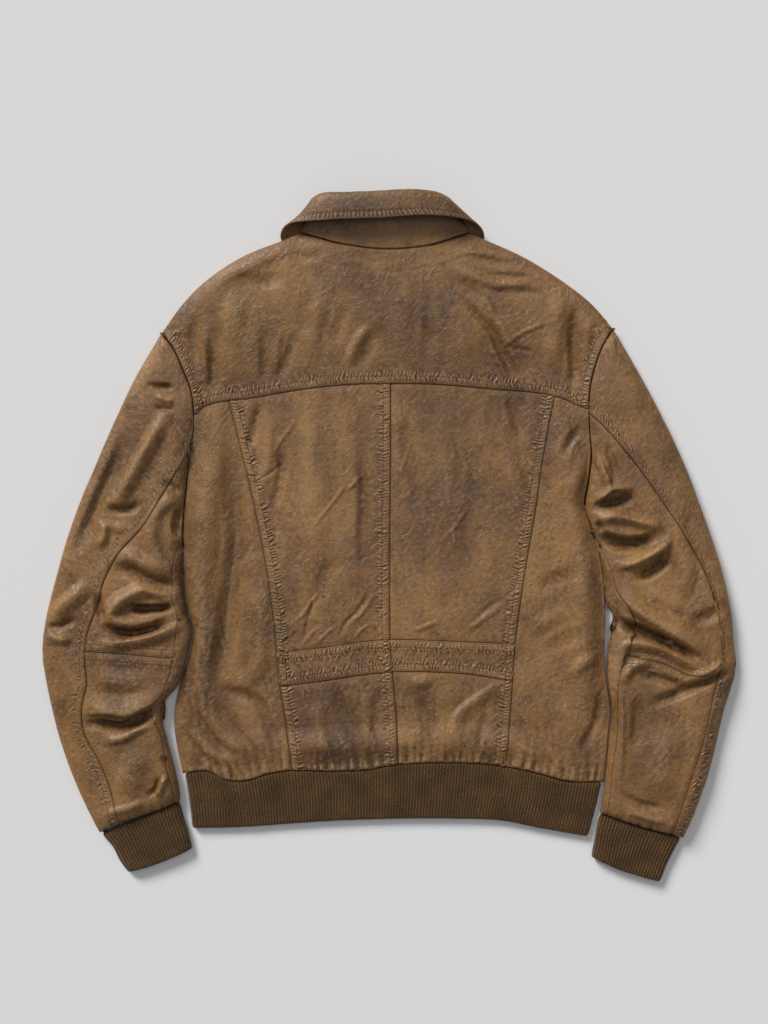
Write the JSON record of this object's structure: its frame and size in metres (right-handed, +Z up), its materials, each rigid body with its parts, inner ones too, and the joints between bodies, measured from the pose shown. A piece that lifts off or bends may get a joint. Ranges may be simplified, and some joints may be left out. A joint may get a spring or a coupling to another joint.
{
  "type": "leather jacket",
  "caption": "Worn brown leather bomber jacket laid flat on its front, with a yoke, shaped panels, a shirt collar, two-piece sleeves and ribbed knit cuffs and hem.",
  "frame": {"origin": "on the ground, below the middle of the jacket's bounding box", "axes": "+Z up out of the jacket's back, +Y towards the collar, +X towards the wearer's right sleeve"},
  "size_m": [0.8122, 0.8074, 0.038],
  "materials": {
    "leather": "worn satin, mottled brown",
    "rib_knit": "matte ribbed knit",
    "zip_tape": "matte woven tape",
    "zip_metal": "aged brass"
  },
  "bodies": {
    "root": {"back_yoke": "leather", "back_side_left": "leather", "back_side_right": "leather", "back_waist_left": "leather", "back_band_left": "leather", "back_centre_left": "leather", "back_waist_right": "leather", "back_band_right": "leather", "back_centre_right": "leather", "front_left": "leather", "front_right": "leather", "sleeve_left_top": "leather", "sleeve_left_above_elbow": "leather", "sleeve_left_below_elbow": "leather", "sleeve_right_top": "leather", "sleeve_right_above_elbow": "leather", "sleeve_right_below_elbow": "leather", "collar": "leather", "cuff_left": "rib_knit", "cuff_right": "rib_knit", "hem_band": "rib_knit", "zip_tape_left": "zip_tape", "zip_tape_right": "zip_tape", "zip_chain": "zip_metal", "zip_slider": "zip_metal"}
  },
  "joints": []
}
